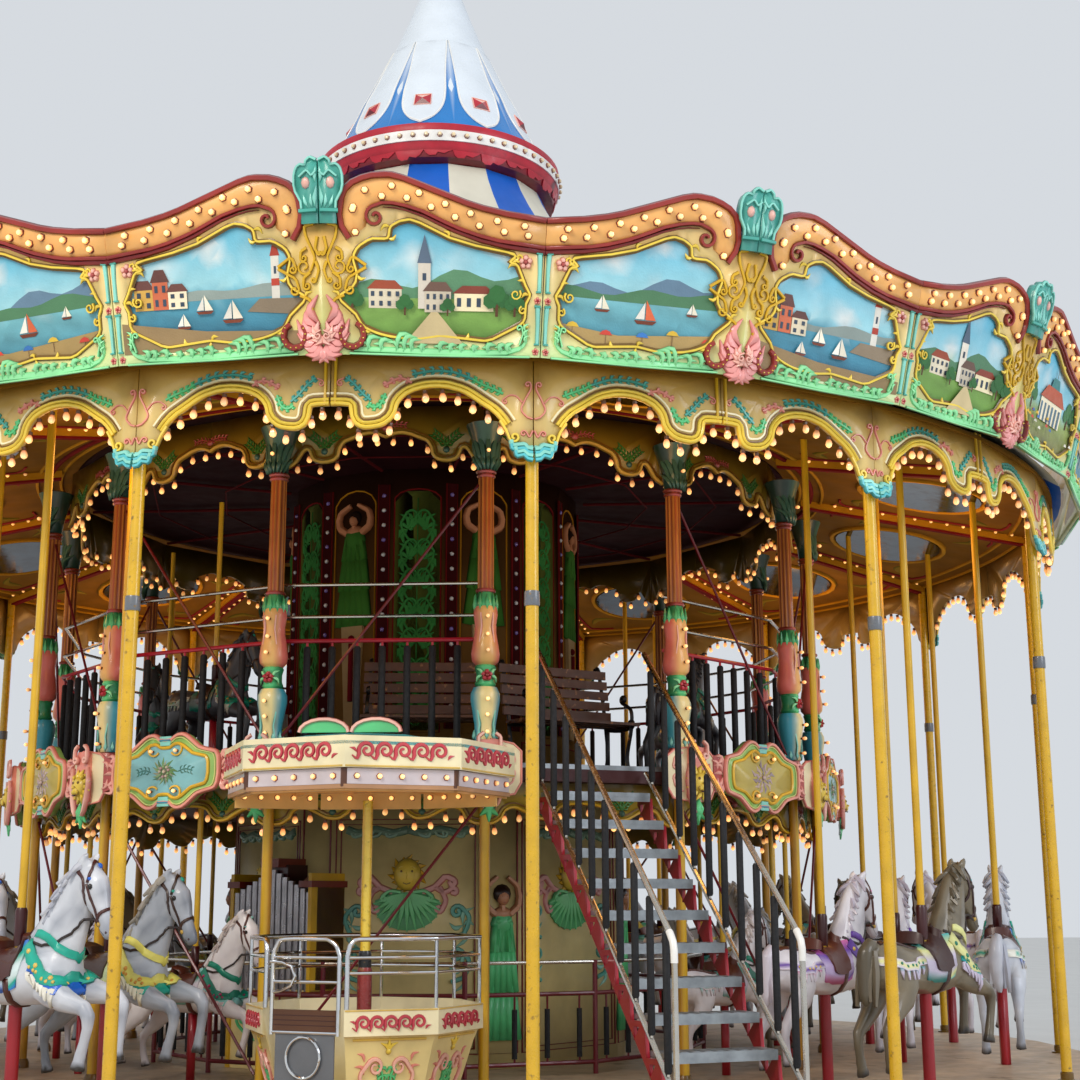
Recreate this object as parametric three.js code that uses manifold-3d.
// Double-deck fairground carousel, in millimetres, +Z up.
// The origin is on the ground at the turning axis. Angles start at the front, -Y, and grow towards +X.
import * as THREE from 'three';
import { mergeVertices } from 'three/addons/utils/BufferGeometryUtils.js';
import Module from 'manifold-3d';

const wasm = await Module();
wasm.setup();

// Fourteen bays between fourteen outer poles
const BAYS = 14;
const BAY = (2 * Math.PI) / BAYS;
const HALF_BAY = BAY / 2;
const FACETS = 2 * BAYS;
const GAP = 0.3;
const CUTTER_PROUD = 20;
const STAIR_BAY = 0;
const TUB_BAY = 13;

// Ring radii
const POLE_RING = 5500;
const COLUMN_RING = 3470;
const PLATFORM_RADIUS = 5750;
const DECK_RADIUS = 3560;

// Heights
const BASE_TOP = 60;
const PLATFORM_BOTTOM = 240;
const PLATFORM_TOP = 330;
const DECK_BOTTOM = 2465;
const DECK_TOP = 2585;
const CEILING_THICKNESS = 40;
const CEILING_LOW = 4880;
const CEILING_HIGH = 5320;
const CEILING_BREAK = 3300;

// Post and pole sizes
const POLE_RADIUS = 40;
const SHAFT_RADIUS = 38;
const RIDER_POLE_RADIUS = 28;
const RIDER_POST_RADIUS = 43;
const RUNNING_GAP = 8;

// Rounding boards lean outwards from this edge
const BOARD_RADIUS = 5810;
const BOARD_BOTTOM = 4830;
const BOARD_THICKNESS = 30;
const BOARD_SLOPE = 0.3;

// Horse rows, and the jump of a galloping horse each way
const ROWS = {
  outer: { radius: 4920, scale: 1 },
  middle: { radius: 4100, scale: 0.95 },
  inner: { radius: 3200, scale: 0.78 },
};
const JUMP = 75;

const bayCentre = (bay) => (bay + 0.5) * BAY;

function at(radius, angle, z) {
  return new THREE.Vector3(radius * Math.sin(angle), -radius * Math.cos(angle), z);
}

// Solids and joins

function solid(geometry) {
  const bare = new THREE.BufferGeometry();
  bare.setAttribute('position', geometry.attributes.position);
  if (geometry.index) bare.setIndex(geometry.index);
  const merged = mergeVertices(bare, 0.01);
  const points = merged.attributes.position.array;
  const corners = merged.index.array;
  const point = (i) => new THREE.Vector3().fromArray(points, 3 * i);
  const kept = [];
  let volume = 0;
  for (let i = 0; i < corners.length; i += 3) {
    const [a, b, c] = [corners[i], corners[i + 1], corners[i + 2]];
    if (a === b || b === c || c === a) continue;
    kept.push(a, b, c);
    volume += point(a).dot(point(b).cross(point(c)));
  }
  if (volume < 0) kept.reverse();
  return new wasm.Manifold(new wasm.Mesh({
    numProp: 3,
    vertProperties: new Float32Array(points),
    triVerts: new Uint32Array(kept),
  }));
}

function join(...pieces) {
  return pieces.flat().reduce((whole, piece) => whole.add(piece));
}

function cut(whole, ...tools) {
  return tools.flat().reduce((rest, tool) => rest.subtract(tool), whole);
}

// A closed profile of [radius, z] pairs turned about the axis, with its first corner at the angle start
function turned(profile, sides, start = 0) {
  const closed = profile[0][0] > 0 ? [...profile, profile[0]] : profile;
  const geometry = new THREE.LatheGeometry(closed.map(([r, z]) => new THREE.Vector2(r, z)), sides, start);
  geometry.rotateX(Math.PI / 2);
  return solid(geometry);
}

// The same, about an upright line at a radius and angle
function turnedAt(radius, angle, profile, sides = 8) {
  const place = at(radius, angle, 0);
  return turned(profile, sides, angle).translate([place.x, place.y, 0]);
}

function post(radius, angle, low, high, size, sides = 8) {
  return turnedAt(radius, angle, [[0, low], [size, low], [size, high], [0, high]], sides);
}

// A flat outline with a thickness, its front face in the XY plane
function slab(outline, thickness) {
  const shape = new THREE.Shape(outline.map(([x, y]) => new THREE.Vector2(x, y)));
  const geometry = new THREE.ExtrudeGeometry(shape, { depth: thickness, bevelEnabled: false });
  geometry.translate(0, 0, -thickness);
  return geometry;
}

// An upright plate through one facet of a ring: outline x runs along the facet and y is height
function facetPlate(radius, from, to, outline, thickness) {
  const geometry = slab(outline, thickness);
  geometry.translate(0, 0, CUTTER_PROUD);
  const start = at(radius, from, 0);
  const along = at(radius, to, 0).sub(start).normalize();
  const up = new THREE.Vector3(0, 0, 1);
  geometry.applyMatrix4(new THREE.Matrix4().makeBasis(along, up, along.clone().cross(up)).setPosition(start));
  return solid(geometry);
}

const chord = (radius, angle) => 2 * radius * Math.sin(angle / 2);

// A bar from p to q, width across and height up
function bar(p, q, width, height = width) {
  const direction = q.clone().sub(p);
  const length = direction.length();
  const along = direction.normalize();
  const side = new THREE.Vector3(0, 0, 1).cross(along).normalize();
  const up = along.clone().cross(side);
  const geometry = new THREE.BoxGeometry(length, width, height);
  const middle = p.clone().add(q).multiplyScalar(0.5);
  geometry.applyMatrix4(new THREE.Matrix4().makeBasis(along, side, up).setPosition(middle));
  return solid(geometry);
}

// An upright square bar at a point, turned to face the given angle
function stake(place, angle, low, high, size) {
  const geometry = new THREE.BoxGeometry(size, size, high - low);
  geometry.rotateZ(angle);
  geometry.translate(place.x, place.y, (low + high) / 2);
  return solid(geometry);
}

// The ceiling: a flat middle and a cone that falls to the rounding boards

const ceilingSlope = () => (CEILING_HIGH - CEILING_LOW) / (ceilingEdge() - CEILING_BREAK);

function boardOuter(z) {
  return BOARD_RADIUS + BOARD_SLOPE * (z - BOARD_BOTTOM);
}

function ceilingEdge() {
  const lean = Math.atan(BOARD_SLOPE);
  return boardOuter(CEILING_LOW) - BOARD_THICKNESS / Math.cos(lean) / Math.cos(BAY / 4) - GAP;
}

// Its underside over a point that lies at a corner angle of the facets
function underCeiling(radius) {
  return radius < CEILING_BREAK ? CEILING_HIGH : CEILING_HIGH - (radius - CEILING_BREAK) * ceilingSlope();
}

// Fixed frame on the ground: four beams across, a track ring and a centre plate

const TRACK_RADIUS = 5060;
const TRACK_WIDTH = 140;
const BEAM_WIDTH = 120;
const CENTRE_PLATE = 420;

function baseFrame() {
  const inside = TRACK_RADIUS - TRACK_WIDTH / 2;
  const outside = TRACK_RADIUS + TRACK_WIDTH / 2;
  const half = inside + 10;
  const beams = Array.from({ length: 4 }, (_, i) => {
    const angle = (i * Math.PI) / 4;
    return bar(at(half, angle, BASE_TOP / 2), at(-half, angle, BASE_TOP / 2), BEAM_WIDTH, BASE_TOP);
  });
  const track = turned([[inside, 0], [outside, 0], [outside, BASE_TOP], [inside, BASE_TOP]], FACETS);
  const plate = turned([[0, 0], [CENTRE_PLATE, 0], [CENTRE_PLATE, BASE_TOP], [0, BASE_TOP]], 8);
  return join(beams, track, plate);
}

// Turning platform, on its centre hub and seven wheel stands

const HUB_RADIUS = 360;
const STAND_SIZE = 130;
const WHEEL_GAP = 0.5;

function platform() {
  const disc = turned([[0, PLATFORM_BOTTOM], [PLATFORM_RADIUS, PLATFORM_BOTTOM], [PLATFORM_RADIUS, PLATFORM_TOP],
    [0, PLATFORM_TOP]], FACETS);
  const low = BASE_TOP + WHEEL_GAP;
  const high = PLATFORM_BOTTOM + 10;
  const hub = turned([[0, low], [HUB_RADIUS, low], [HUB_RADIUS, high], [0, high]], BAYS);
  const stands = Array.from({ length: BAYS / 2 }, (_, i) => {
    const angle = 2 * i * BAY;
    return stake(at(TRACK_RADIUS, angle, 0), angle, low, high, STAND_SIZE);
  });
  const clear = (RIDER_POST_RADIUS + RUNNING_GAP) / Math.cos(Math.PI / 8);
  const holes = jumpers().map(({ row, bay }) => post(ROWS[row].radius, bayCentre(bay), BASE_TOP, PLATFORM_TOP + 50,
    clear));
  return cut(join(disc, hub, stands), holes);
}

// Drums: wide panels and narrow pilasters by turns

function drum(radius, low, high, pilaster) {
  const corners = [];
  for (let i = 0; i < BAYS / 2; i += 1) {
    const centre = -HALF_BAY + 2 * i * BAY;
    corners.push(centre - BAY + pilaster / radius / 2, centre + BAY - pilaster / radius / 2);
  }
  const outline = corners.map((angle) => at(radius, angle, 0)).map((p) => [p.x, p.y]);
  const geometry = slab(outline, high - low);
  geometry.translate(0, 0, high);
  return solid(geometry);
}

const LOWER_DRUM_RADIUS = 1750;
const LOWER_PILASTER = 300;
const UPPER_DRUM_RADIUS = 1350;
const UPPER_PILASTER = 250;
const ORGAN_ANGLE = -HALF_BAY - BAY - 0.12;
const ORGAN_FRONT = 2080;
const ORGAN_WIDTH = 900;
const ORGAN_TOP = 1970;

function lowerDrum() {
  const foot = PLATFORM_TOP + GAP;
  const body = drum(LOWER_DRUM_RADIUS, foot, DECK_BOTTOM - GAP, LOWER_PILASTER);
  const middle = (foot + ORGAN_TOP) / 2;
  const organ = bar(at(1400, ORGAN_ANGLE, middle), at(ORGAN_FRONT, ORGAN_ANGLE, middle), ORGAN_WIDTH,
    ORGAN_TOP - foot);
  return join(body, organ);
}

function upperDrum() {
  return drum(UPPER_DRUM_RADIUS, DECK_TOP + GAP, CEILING_HIGH - GAP, UPPER_PILASTER);
}

// Upper deck: one slab, with a round hole for each column

const columnTop = () => underCeiling(COLUMN_RING + 60) - 2 * GAP;

function upperDeck() {
  const body = turned([[0, DECK_BOTTOM], [DECK_RADIUS, DECK_BOTTOM], [DECK_RADIUS, DECK_TOP], [0, DECK_TOP]], BAYS);
  const holes = Array.from({ length: BAYS }, (_, i) => post(COLUMN_RING, i * BAY, DECK_BOTTOM - 10, DECK_TOP + 10,
    SHAFT_RADIUS + GAP, 6));
  return cut(body, holes);
}

// Inner column: a plain shaft below the deck, and a vase, ring, vase, shaft and capital above it

function innerColumn(angle) {
  const ground = PLATFORM_TOP + GAP;
  const foot = DECK_TOP + GAP;
  const top = columnTop();
  const vase = 102;
  const waist = 70;
  const shaft = 58;
  const capital = 120;
  const profile = [
    [0, ground], [SHAFT_RADIUS, ground], [SHAFT_RADIUS, foot], [84, foot], [vase, 3000], [waist, 3380],
    [vase, 3640], [shaft, 3800], [shaft, 4700], [capital, 4980], [shaft, top], [0, top],
  ];
  return turnedAt(COLUMN_RING, angle, profile, 6);
}

function outerPole(angle) {
  return post(POLE_RING, angle, PLATFORM_TOP + GAP, underCeiling(POLE_RING + POLE_RADIUS) - 2 * GAP, POLE_RADIUS, 6);
}

// A facet ring whose faces run from corner to corner, square in section
function ring(outer, thickness, low, high, sides) {
  const inner = outer - thickness / Math.cos(Math.PI / sides);
  return turned([[inner, low], [outer, low], [outer, high], [inner, high]], sides);
}

// What is cut away between an edge and a level beyond it, over one facet of a ring
function edgeCutter(radius, from, to, edge, beyond, depth = 140) {
  const length = chord(radius, to - from);
  const line = edge.map(([f, z]) => [f * length, z]);
  line[0][0] -= 2;
  line[line.length - 1][0] += 2;
  const outline = [...line, [length + 2, beyond], [-2, beyond]];
  return facetPlate(radius, from, to, outline, depth);
}

const mirrored = (edge) => edge.map(([f, z]) => [1 - f, z]).reverse();
const everyBay = Array.from({ length: BAYS }, (_, i) => i);

// Cartouche frieze round the edge of the deck, with a bare beam over the tub and no piece at the stair

const FRIEZE_THICKNESS = 50;
const FRIEZE_RADIUS = DECK_RADIUS + GAP + FRIEZE_THICKNESS / Math.cos(HALF_BAY);

function deckFrieze() {
  const radius = FRIEZE_RADIUS;
  const low = 2290;
  const high = 2820;
  const lower = [[0, 2445], [0.17, 2445], [0.33, 2320], [0.5, low]];
  const upper = [[0, 2720], [0.17, 2700], [0.33, 2790], [0.5, high]];
  const whole = (half) => [...half, ...mirrored(half).slice(1)];
  const cutters = [];
  for (const bay of everyBay) {
    if (bay === STAIR_BAY) continue;
    const from = bay * BAY;
    const flat = bay === TUB_BAY;
    const lowEdge = flat ? [[0, 2445], [1, 2445]] : whole(lower);
    const highEdge = flat ? [[0, 2600], [1, 2600]] : whole(upper);
    cutters.push(edgeCutter(radius, from, from + BAY, lowEdge, low - 60));
    cutters.push(edgeCutter(radius, from, from + BAY, highEdge, high + 60));
  }
  const half = chord(radius, BAY) / 2 - 4;
  const gap = bar(onStair(-half, radius, 2550), onStair(half, radius, 2550), 500, 900);
  return cut(ring(radius, FRIEZE_THICKNESS, low, high, BAYS), cutters, gap);
}

// A ring of upright plates with a cut lower edge, which gives [fraction of the facet, z] from corner to corner
function valance(radius, thickness, top, sides, edge, turnabout = false) {
  const low = Math.min(...edge.map(([, z]) => z));
  const step = (2 * Math.PI) / sides;
  const cutters = Array.from({ length: sides }, (_, i) => edgeCutter(radius, i * step, (i + 1) * step,
    turnabout && i % 2 === 1 ? mirrored(edge) : edge, low - 60));
  return cut(ring(radius, thickness, low, top, sides), cutters);
}

function deckValance() {
  const edge = [[0, 2140], [0.12, 2230], [0.3, 2180], [0.5, 2290], [0.7, 2180], [0.88, 2230], [1, 2140]];
  return valance(COLUMN_RING - SHAFT_RADIUS - 4, 25, DECK_BOTTOM - GAP, BAYS, edge);
}

function innerValance() {
  const radius = COLUMN_RING - 125;
  const edge = [[0, 4620], [0.14, 4790], [0.3, 4970], [0.5, 5050], [0.7, 4970], [0.86, 4790], [1, 4620]];
  return valance(radius, 25, underCeiling(radius) - GAP, BAYS, edge);
}

// Outer valance: twenty-eight half panels, from a pendant at a pole to a notch at a seam

function outerValance() {
  const thickness = 24;
  const radius = POLE_RING + (POLE_RADIUS + thickness + 2 * GAP) / Math.cos(BAY / 4);
  const edge = [[0, 4250], [0.13, 4430], [0.27, 4640], [0.49, 4710], [0.61, 4660], [0.7, 4455], [0.87, 4455],
    [0.9, 4580], [1, 4580]];
  return valance(radius, thickness, underCeiling(radius) - 2 * GAP, FACETS, edge, true);
}

// Rounding boards: twenty-eight leaning panels, whose top is a wave that ends at a shell crest over each seam

function roundingBoards() {
  const high = 5945;
  const edge = [[0, 5630], [0.25, 5670], [0.45, 5770], [0.7, 5850], [0.88, 5790], [0.93, 5900], [1, high]];
  const through = BOARD_THICKNESS * Math.hypot(1, BOARD_SLOPE) / Math.cos(BAY / 4);
  const boards = turned([[BOARD_RADIUS - through, BOARD_BOTTOM], [BOARD_RADIUS, BOARD_BOTTOM],
    [boardOuter(high), high], [boardOuter(high) - through, high]], FACETS);
  const cutters = Array.from({ length: FACETS }, (_, i) => edgeCutter(boardOuter(high), i * HALF_BAY,
    (i + 1) * HALF_BAY, i % 2 === 1 ? mirrored(edge) : edge, high + 60, 400));
  return cut(boards, cutters);
}

// Ceiling slab, tent roof, lantern and spire

function ceiling() {
  const edge = ceilingEdge();
  const inner = 60;
  const over = CEILING_THICKNESS;
  const profile = [
    [inner, CEILING_HIGH], [CEILING_BREAK, CEILING_HIGH], [edge, CEILING_LOW], [edge, CEILING_LOW + over],
    [CEILING_BREAK, CEILING_HIGH + over], [inner, CEILING_HIGH + over],
  ];
  const guides = jumpers().map(({ row, bay }) => post(ROWS[row].radius, bayCentre(bay), CEILING_LOW,
    CEILING_HIGH + 100, RIDER_POLE_RADIUS + 2 * GAP, 6));
  return cut(turned(profile, FACETS), guides);
}

const LANTERN_BOTTOM = 8300;
const LANTERN_TOP = 8660;

function tentRoof() {
  const shell = 40;
  const top = (radius) => underCeiling(radius) + CEILING_THICKNESS + GAP;
  const outer = [[5680, top(5680)], [3900, 6120], [2000, 7200], [1330, 7800], [1000, LANTERN_BOTTOM - GAP]];
  const inner = [[940, LANTERN_BOTTOM - GAP], [1270, 7770], [1950, 7160], [3860, 6070], [5610, top(5610)]];
  return turned([...outer, ...inner], FACETS);
}

function lantern() {
  return turned([[0, LANTERN_BOTTOM], [1000, LANTERN_BOTTOM], [1150, 8330], [1180, 8500], [1190, 8630],
    [1120, LANTERN_TOP], [0, LANTERN_TOP]], BAYS);
}

function spire() {
  return turned([[0, LANTERN_TOP + GAP], [1060, LANTERN_TOP + GAP], [960, 8880], [810, 9230], [460, 9970],
    [215, 10600], [90, 10980], [130, 11120], [60, 11230], [0, 11500]], BAYS);
}

// Guard rails: rings that pass behind the columns

const rail = (radius, z, size) => ring(radius + size / 2, size, z - size / 2, z + size / 2, BAYS);

// Bars spaced evenly along the bays of a ring
function balusters(bays, radius, count, low, high, size) {
  return bays.flatMap((bay) => {
    const start = at(radius, bay * BAY, 0);
    const end = at(radius, (bay + 1) * BAY, 0);
    return Array.from({ length: count }, (_, i) => {
      const place = start.clone().lerp(end, (i + 1) / (count + 1));
      return stake(place, bayCentre(bay), low, high, size);
    });
  });
}

function deckRailing() {
  const radius = COLUMN_RING - 145;
  const foot = DECK_TOP + GAP;
  const open = chord(radius, BAY) / 2 - 20;
  const rails = [[3920, 26], [3680, 26], [3500, 34]].map(([z, size]) => rail(radius, z, size));
  const gap = bar(onStair(-open, radius - 40, 3700), onStair(open, radius - 40, 3700), 300, 600);
  const ends = [0, 1].map((i) => stake(at(radius, i * BAY, 0), i * BAY, foot, 3935, 40));
  const others = everyBay.filter((bay) => bay !== STAIR_BAY);
  return join(cut(join(rails), gap), ends, balusters(others, radius, 5, foot, 3500, 30));
}

function drumRailing() {
  const radius = 2420;
  const foot = PLATFORM_TOP + GAP;
  const high = 1165;
  const low = 930;
  const posts = Array.from({ length: BAYS / 2 }, (_, i) => {
    const angle = 2 * i * BAY;
    return stake(at(radius, angle, 0), angle, foot, high, 22);
  });
  return join(rail(radius, high, 26), rail(radius, low, 34), posts, balusters(everyBay, radius, 1, foot, low, 30));
}

// Stair: ten open treads between two stringers, rising inwards to the edge of the deck

const STAIR_RISE = 205;
const STAIR_RUN = 210;
const TREADS = 10;
const STAIR_WIDTH = 860;
const STAIR_HEAD = DECK_RADIUS * Math.cos(HALF_BAY) + GAP;
const stairAngle = bayCentre(STAIR_BAY);

// A point by its place across the stair, its distance from the axis and its height
function onStair(across, radius, z) {
  return at(radius, stairAngle, z).add(at(across, stairAngle + Math.PI / 2, 0));
}

// An upright plate along the stair, drawn by radius and height
function stairPlate(outline, across, thickness) {
  const geometry = slab(outline, thickness);
  geometry.translate(0, 0, thickness / 2);
  const out = at(1, stairAngle, 0);
  const up = new THREE.Vector3(0, 0, 1);
  const place = new THREE.Matrix4().makeBasis(out, up, out.clone().cross(up)).setPosition(onStair(across, 0, 0));
  geometry.applyMatrix4(place);
  return solid(geometry);
}

const stairFoot = () => STAIR_HEAD + (TREADS + 0.4) * STAIR_RUN;
const stairTopLine = (radius) => DECK_TOP - 20 - ((radius - STAIR_HEAD) * STAIR_RISE) / STAIR_RUN;

function stairFlight() {
  const floor = PLATFORM_TOP + GAP;
  const foot = stairFoot();
  const deep = 230;
  const outline = [[STAIR_HEAD, stairTopLine(STAIR_HEAD) - deep], [STAIR_HEAD, stairTopLine(STAIR_HEAD)],
    [foot, stairTopLine(foot)], [foot, floor], [foot - 120, floor]];
  const sides = [-1, 1].map((side) => stairPlate(outline, (side * STAIR_WIDTH) / 2, 40));
  const reach = STAIR_WIDTH / 2 - 18.5;
  const treads = Array.from({ length: TREADS }, (_, i) => {
    const z = DECK_TOP - (i + 1) * STAIR_RISE - 18;
    const radius = STAIR_HEAD + (i + 0.5) * STAIR_RUN + 10;
    return bar(onStair(-reach, radius, z), onStair(reach, radius, z), STAIR_RUN + 10, 36);
  });
  return join(sides, treads);
}

function stairRail(side) {
  const across = (side * STAIR_WIDTH) / 2;
  const foot = stairFoot() - 40;
  const head = STAIR_HEAD + 60;
  const line = (radius, lift) => [radius, stairTopLine(radius) + lift];
  const plates = [[GAP + 1, 34], [880, 36]].map(([lift, deep]) => stairPlate([line(head, lift), line(foot, lift),
    line(foot, lift + deep), line(head, lift + deep)], across, 34));
  const count = 6;
  const bars = Array.from({ length: count + 1 }, (_, i) => {
    const radius = head + 20 + ((foot - head - 40) * i) / count;
    return stake(onStair(across, radius, 0), stairAngle, stairTopLine(radius) + 18, stairTopLine(radius) + 896, 30);
  });
  return join(plates, bars);
}

// Spinning tub: an eight-sided shell on a flange of its fixed pole, with rails and a gate

const TUB_RING = 3770;
const TUB_SIDES = 8;
const TUB_STEP = (2 * Math.PI) / TUB_SIDES;
const TUB_RADIUS = 800;
const TUB_TOP = 960;
const TUB_FLOOR = PLATFORM_TOP + 16;
const TUB_SILL = TUB_FLOOR + 80;
const TUB_POLE_RADIUS = 36;
const TUB_POLE_TOP = DECK_BOTTOM - 160;
const tubAngle = bayCentre(TUB_BAY);
const tubPlace = at(TUB_RING, tubAngle, 0);
const aroundTub = (radius, step, z) => at(radius, tubAngle + step * TUB_STEP, z).add(tubPlace);

function tubShell() {
  const eye = TUB_POLE_RADIUS + 10;
  const band = 800;
  const floor = TUB_FLOOR + 16;
  const body = turned([[eye, TUB_FLOOR], [620, TUB_FLOOR], [745, band], [TUB_RADIUS, band], [TUB_RADIUS, TUB_TOP],
    [768, TUB_TOP], [600, floor], [eye, floor]], TUB_SIDES, tubAngle);
  const shell = body.translate([tubPlace.x, tubPlace.y, 0]);
  const high = (TUB_SILL + TUB_TOP + 100) / 2;
  const doorway = bar(aroundTub(480, -0.5, high), aroundTub(900, -0.5, high), 580, TUB_TOP + 100 - TUB_SILL);
  return cut(shell, doorway);
}

const TUB_RAIL_RADIUS = TUB_RADIUS - 26;
const TUB_RAIL_HIGH = 1390;
const TUB_RAIL_LOW = 1180;

function tubRail() {
  const radius = TUB_RAIL_RADIUS;
  const half = 15;
  const rails = [TUB_RAIL_HIGH, TUB_RAIL_LOW].map((z) => {
    const profile = [[radius - half, z - half], [radius + half, z - half], [radius + half, z + half],
      [radius - half, z + half]];
    return turned(profile, TUB_SIDES, tubAngle).translate([tubPlace.x, tubPlace.y, 0]);
  });
  const middle = (TUB_RAIL_HIGH + TUB_RAIL_LOW) / 2;
  const doorway = bar(acrossGate(GATE_HINGE - STILE_RADIUS - GAP, middle), acrossGate(GATE_END + 20, middle),
    120, 300);
  const posts = Array.from({ length: TUB_SIDES }, (_, i) => stake(aroundTub(radius, i, 0), tubAngle + i * TUB_STEP,
    TUB_TOP + GAP, TUB_RAIL_HIGH, 22));
  return join(cut(join(rails), doorway), posts);
}

// Gate: its hinge stile turns against the rail ends at the left of the doorway

const GATE_LINE = TUB_RAIL_RADIUS * Math.cos(TUB_STEP / 2);
const GATE_HINGE = -262;
const GATE_END = 262;
const STILE_RADIUS = 15;
const gateAngle = tubAngle - TUB_STEP / 2;

// A point by its place along the gate and its height
function acrossGate(along, z) {
  return at(GATE_LINE, gateAngle, z).add(at(along, gateAngle + Math.PI / 2, 0)).add(tubPlace);
}

function tubGate() {
  const low = TUB_SILL + 40;
  const high = TUB_RAIL_HIGH + STILE_RADIUS;
  const size = 26;
  const end = GATE_END - size / 2;
  const hinge = acrossGate(GATE_HINGE, 0);
  const stile = turned([[0, low], [STILE_RADIUS, low], [STILE_RADIUS, high], [0, high]], 6, gateAngle + Math.PI / 2)
    .translate([hinge.x, hinge.y, 0]);
  const bars = [TUB_RAIL_LOW, TUB_RAIL_HIGH].map((z) => bar(acrossGate(GATE_HINGE, z), acrossGate(GATE_END, z),
    size));
  const upright = stake(acrossGate(end, 0), gateAngle, low, high, size);
  const middle = (low + TUB_TOP) / 2;
  const panel = bar(acrossGate(GATE_HINGE, middle), acrossGate(end, middle), 14, TUB_TOP - low);
  return join(stile, bars, upright, panel);
}

function tubPole() {
  const flange = 120;
  const low = PLATFORM_TOP + GAP;
  const high = TUB_FLOOR - WHEEL_GAP;
  const profile = [[0, low], [flange, low], [flange, high], [TUB_POLE_RADIUS, high], [TUB_POLE_RADIUS, TUB_POLE_TOP],
    [0, TUB_POLE_TOP]];
  return turnedAt(TUB_RING, tubAngle, profile, 8);
}

// Bow canopy over the tub: five facets round the front of the deck edge

function bowCanopy() {
  const radius = 1010;
  const top = 2660;
  const band = 2450;
  const low = 2300;
  const steps = [-2, -1, 0, 1, 2];
  const back = FRIEZE_RADIUS * Math.cos(HALF_BAY) + GAP;
  const local = (size, step) => {
    const turn = step * TUB_STEP;
    return [size * Math.sin(turn), -size * Math.cos(turn) - TUB_RING];
  };
  const outline = [[-740, -back], ...steps.map((step) => local(radius, step)), [740, -back]];
  const layer = (scale, low, high) => {
    const atBack = (i) => i === 0 || i === outline.length - 1;
    const points = outline.map(([x, y], i) => [x * scale, atBack(i) ? y : (y + TUB_RING) * scale - TUB_RING]);
    const geometry = slab(points, high - low);
    geometry.translate(0, 0, high);
    geometry.rotateZ(tubAngle);
    return solid(geometry);
  };
  const crown = layer(1, band, top);
  const lit = layer(0.96, low, band + 5);
  const hollow = layer(0.8, low - 100, low + 100);
  const boss = post(TUB_RING, tubAngle, TUB_POLE_TOP - 70, band + 5, 90);
  const socket = post(TUB_RING, tubAngle, TUB_POLE_TOP - 100, TUB_POLE_TOP + GAP, TUB_POLE_RADIUS + GAP);
  return cut(join(cut(join(crown, lit), hollow), boss), socket);
}

// Bench on the upper deck, facing out over the tub

function deckBench() {
  const distance = 2250;
  const angle = bayCentre(TUB_BAY) + 0.1;
  const foot = DECK_TOP + GAP;
  const half = 520;
  const seatHigh = 430;
  const place = (x, y, z) => at(distance + y, angle, foot + z).add(at(x, angle + Math.PI / 2, 0));
  const seat = bar(place(-half, 60, seatHigh), place(half, 60, seatHigh), 400, 30);
  const back = bar(place(-half, -140, 660), place(half, -140, 660), 30, 470);
  const sides = [40 - half, half - 40].map((x) => bar(place(x, -140, 320), place(x, 230, 320), 36, 640));
  return join(seat, back, sides);
}

// Horses: side outlines by forward distance from the pole and height over the platform, at full scale

const TORSO = [[-690, 830], [-480, 1010], [330, 1050], [490, 880], [380, 680], [0, 610], [-600, 640]];
const NECK = [[150, 1000], [450, 1500], [540, 1600], [900, 1270], [840, 1180], [620, 1240], [450, 850]];
const FORELEGS = [[330, 760], [760, 640], [690, 340], [610, 350], [640, 570]];
const HIND_LEGS = [[-640, 760], [-400, 680], [-620, 160], [-710, 150], [-800, 430]];

function sideSlab(outline, width, scale) {
  const geometry = slab(outline.map(([x, z]) => [x * scale, z * scale]), width * scale);
  geometry.rotateX(Math.PI / 2);
  geometry.translate(0, -width * scale / 2, 0);
  return solid(geometry);
}

function horse(row, bay, postFoot, poleTop) {
  const { radius, scale } = ROWS[row];
  const angle = bayCentre(bay);
  const body = join(sideSlab(TORSO, 330, scale), sideSlab(NECK, 170, scale), sideSlab(FORELEGS, 240, scale),
    sideSlab(HIND_LEGS, 260, scale));
  const place = at(radius, angle, PLATFORM_TOP);
  const pole = post(radius, angle, PLATFORM_TOP + 900 * scale, poleTop, RIDER_POLE_RADIUS, 6);
  const foot = post(radius, angle, postFoot, PLATFORM_TOP + 700 * scale, RIDER_POST_RADIUS, 6);
  const turn = THREE.MathUtils.radToDeg(angle);
  return join(body.rotate([0, 0, turn]).translate([place.x, place.y, place.z]), pole, foot);
}

// The four galloping horses: outer and middle rows of the bays beside the tub and the stair
function jumpers() {
  return [
    { name: 'jumper_left_outer', row: 'outer', bay: 12 },
    { name: 'jumper_left_middle', row: 'middle', bay: 12 },
    { name: 'jumper_right_outer', row: 'outer', bay: 1 },
    { name: 'jumper_right_middle', row: 'middle', bay: 1 },
  ];
}

function jumper({ row, bay }) {
  const foot = BASE_TOP + JUMP + RUNNING_GAP;
  const top = underCeiling(ROWS[row].radius) + CEILING_THICKNESS + JUMP + 12;
  return horse(row, bay, foot, top);
}

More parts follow.
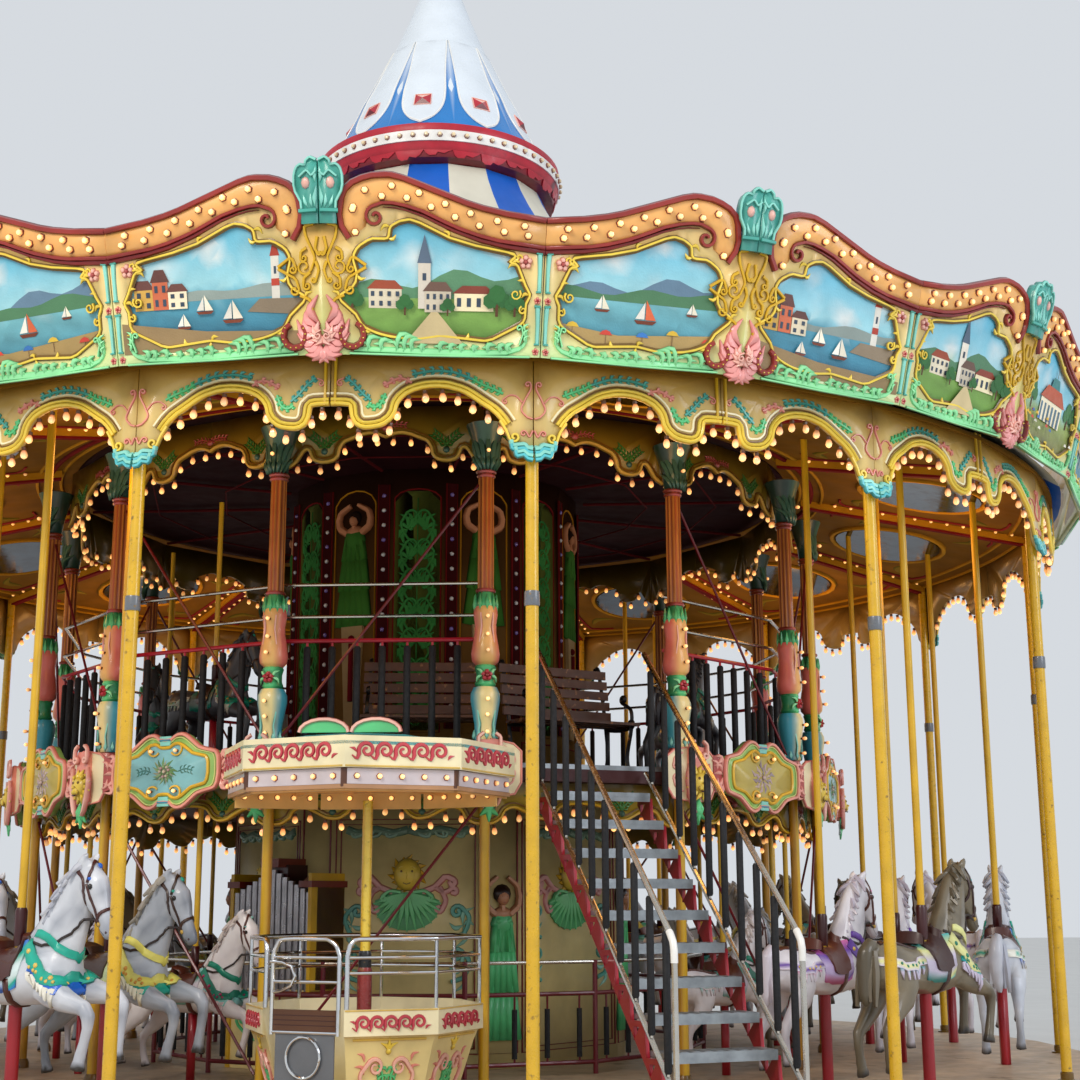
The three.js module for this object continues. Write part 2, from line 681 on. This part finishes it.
// A row of standing horses, joined by the flat floor track that carries them
function standingRow(row, first, last) {
  const { radius } = ROWS[row];
  const top = (row === 'inner' ? DECK_BOTTOM : underCeiling(radius + RIDER_POLE_RADIUS)) - 2 * GAP;
  const foot = PLATFORM_TOP + GAP;
  const bays = Array.from({ length: last - first + 1 }, (_, i) => first + i);
  const trackHigh = 12;
  const trackWide = 70;
  const horses = bays.map((bay) => horse(row, bay, foot, top));
  const onTrack = (bay) => at(radius, bayCentre(bay), foot + trackHigh / 2);
  const tracks = bays.slice(1).map((bay) => bar(onTrack(bay - 1), onTrack(bay), trackWide, trackHigh));
  return join(horses, tracks);
}

// Finishes

const finish = (color, roughness, metalness = 0) => new THREE.MeshStandardMaterial({ color, roughness, metalness });
const finishes = {
  cream: finish('#ead48c', 0.45),
  ochre: finish('#c89a30', 0.5),
  yellow: finish('#e0b030', 0.35),
  terracotta: finish('#a84820', 0.45),
  maroon: finish('#5c1a20', 0.5),
  crimson: finish('#b01838', 0.4),
  blue: finish('#1058c0', 0.6),
  white: finish('#dfe6ee', 0.45),
  pink: finish('#e8a090', 0.45),
  steel: finish('#b8bcc0', 0.25, 0.9),
  darkSteel: finish('#484c50', 0.5, 0.6),
  plank: finish('#7a5a3c', 0.7),
  black: finish('#1c1c20', 0.6),
  horse: finish('#d4d6da', 0.35),
};

const carousel = new THREE.Group();

function add(name, body, material) {
  const mesh = body.getMesh();
  const geometry = new THREE.BufferGeometry();
  geometry.setAttribute('position', new THREE.BufferAttribute(mesh.vertProperties, 3));
  geometry.setIndex(new THREE.BufferAttribute(mesh.triVerts, 1));
  const piece = new THREE.Mesh(geometry, material);
  piece.name = name;
  carousel.add(piece);
}

const numbered = (i) => String(i + 1).padStart(2, '0');

add('base_frame', baseFrame(), finishes.darkSteel);
add('platform', platform(), finishes.plank);
add('lower_drum', lowerDrum(), finishes.cream);
add('upper_drum', upperDrum(), finishes.cream);
add('upper_deck', upperDeck(), finishes.maroon);
for (const i of everyBay) add(`inner_column_${numbered(i)}`, innerColumn(i * BAY), finishes.terracotta);
for (const i of everyBay) add(`outer_pole_${numbered(i)}`, outerPole(i * BAY), finishes.yellow);
add('deck_frieze', deckFrieze(), finishes.pink);
add('deck_valance', deckValance(), finishes.ochre);
add('inner_valance', innerValance(), finishes.ochre);
add('outer_valance', outerValance(), finishes.ochre);
add('rounding_boards', roundingBoards(), finishes.cream);
add('ceiling', ceiling(), finishes.ochre);
add('tent_roof', tentRoof(), finishes.blue);
add('lantern', lantern(), finishes.crimson);
add('spire', spire(), finishes.white);
add('deck_railing', deckRailing(), finishes.black);
add('drum_railing', drumRailing(), finishes.steel);
add('stair_flight', stairFlight(), finishes.crimson);
add('stair_rail_left', stairRail(-1), finishes.steel);
add('stair_rail_right', stairRail(1), finishes.steel);
add('tub_shell', tubShell(), finishes.cream);
add('tub_rail', tubRail(), finishes.steel);
add('tub_gate', tubGate(), finishes.steel);
add('tub_pole', tubPole(), finishes.yellow);
add('bow_canopy', bowCanopy(), finishes.cream);
add('deck_bench', deckBench(), finishes.plank);
for (const rider of jumpers()) add(rider.name, jumper(rider), finishes.horse);
add('horses_outer_row', standingRow('outer', 2, 11), finishes.horse);
add('horses_middle_row', standingRow('middle', 2, 11), finishes.horse);
add('horses_inner_row', standingRow('inner', 1, 12), finishes.horse);

export default carousel;
